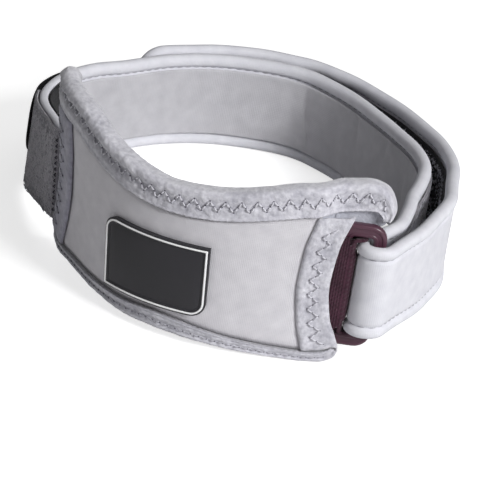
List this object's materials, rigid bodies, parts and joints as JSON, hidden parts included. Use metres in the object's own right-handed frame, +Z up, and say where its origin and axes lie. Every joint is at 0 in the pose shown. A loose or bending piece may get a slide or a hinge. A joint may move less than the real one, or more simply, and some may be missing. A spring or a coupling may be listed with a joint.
{
  "type": "patellar strap",
  "caption": "Knee strap: a curved padded front panel with bound edges, and a hemmed band that runs round the back and through a moulded ring to close on itself.",
  "frame": {"origin": "middle of the strap's footprint, on the floor it rests on", "axes": "+Z up, -Y out of the padded front panel, +X towards the ring at the wearer's left"},
  "size_m": [0.151, 0.1544, 0.0626],
  "materials": {
    "pad_core": "fleecy foam",
    "pad_face": "smooth matt knit",
    "binding_top": "fleecy tape",
    "binding_bottom": "fleecy tape",
    "binding_right": "fleecy tape",
    "binding_left": "fleecy tape",
    "badge": "satin",
    "badge_border": "satin",
    "ring": "satin moulded",
    "ring_webbing": "ribbed weave",
    "strap": "smooth matt knit",
    "strap_lining": "smooth matt knit",
    "loop_panel": "loop pile",
    "hook_panel": "hook tape",
    "end_tab": "hook tape"
  },
  "bodies": {
    "root": {"pad_core": "pad_core", "pad_face": "pad_face", "binding_top": "binding_top", "binding_bottom": "binding_bottom", "binding_right": "binding_right", "binding_left": "binding_left", "badge": "badge", "badge_border": "badge_border", "ring": "ring", "ring_webbing": "ring_webbing", "strap": "strap", "strap_lining": "strap_lining", "loop_panel": "loop_panel", "hook_panel": "hook_panel", "end_tab": "end_tab"}
  },
  "joints": []
}
